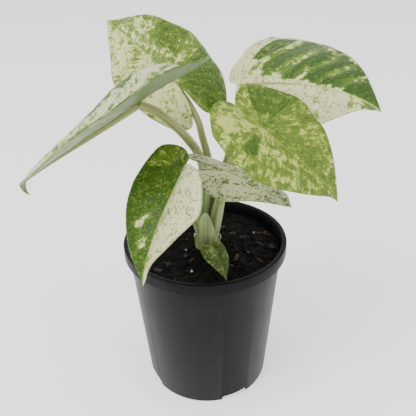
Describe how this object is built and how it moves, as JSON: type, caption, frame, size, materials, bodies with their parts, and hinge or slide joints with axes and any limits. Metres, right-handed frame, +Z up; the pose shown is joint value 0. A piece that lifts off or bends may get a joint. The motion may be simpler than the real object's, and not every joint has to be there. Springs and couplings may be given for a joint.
{
  "type": "potted variegated elephant-ear plant (batik alocasia odora)",
  "caption": "Young variegated elephant-ear houseplant: heart-shaped marbled leaves on arching stalks, growing from soil in a round plastic nursery pot.",
  "frame": {"origin": "middle of the pot's flat underside", "axes": "+Z up along the pot's axis, -Y towards the side that the picture shows, +X to its right"},
  "size_m": [0.2463, 0.198, 0.3113],
  "materials": {
    "pot": "satin",
    "soil": "matt",
    "stem": "satin",
    "blade": "satin"
  },
  "bodies": {
    "root": {"pot": "pot", "soil": "soil", "stem": "stem", "stalk_a": "stem", "blade_a": "blade", "stalk_b": "stem", "blade_b": "blade", "stalk_c": "stem", "blade_c": "blade", "stalk_d": "stem", "blade_d": "blade", "stalk_e": "stem", "blade_e": "blade", "stalk_f": "stem", "blade_f": "blade", "young_stalk": "stem", "young_blade": "blade"}
  },
  "joints": []
}
